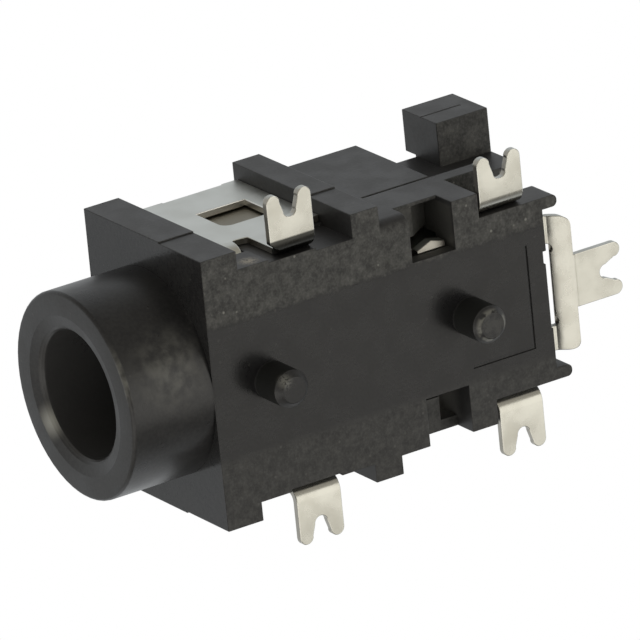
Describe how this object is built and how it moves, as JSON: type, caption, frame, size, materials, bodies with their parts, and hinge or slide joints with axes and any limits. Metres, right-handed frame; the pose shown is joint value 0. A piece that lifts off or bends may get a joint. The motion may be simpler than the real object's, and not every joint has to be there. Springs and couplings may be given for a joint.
{
  "type": "audio jack socket",
  "caption": "Surface-mount audio jack socket: a black moulded housing with a round plug barrel, board pegs and folded contacts that end in solder forks.",
  "frame": {"origin": "on the axis of the front locating peg, at the board face of the housing", "axes": "+Z away from the board, -Y out of the mouth of the barrel, +X towards the side with the sleeve plate"},
  "size_m": [0.0103, 0.0162, 0.0072],
  "materials": {
    "housing": "matt black moulding with a fine grain",
    "contact": "satin tin plate"
  },
  "bodies": {
    "root": {"housing": "housing", "sleeve_contact": "contact", "ring_contact": "contact", "tip_contact": "contact", "tip_switch_contact": "contact", "ring_switch_contact": "contact"}
  },
  "joints": []
}
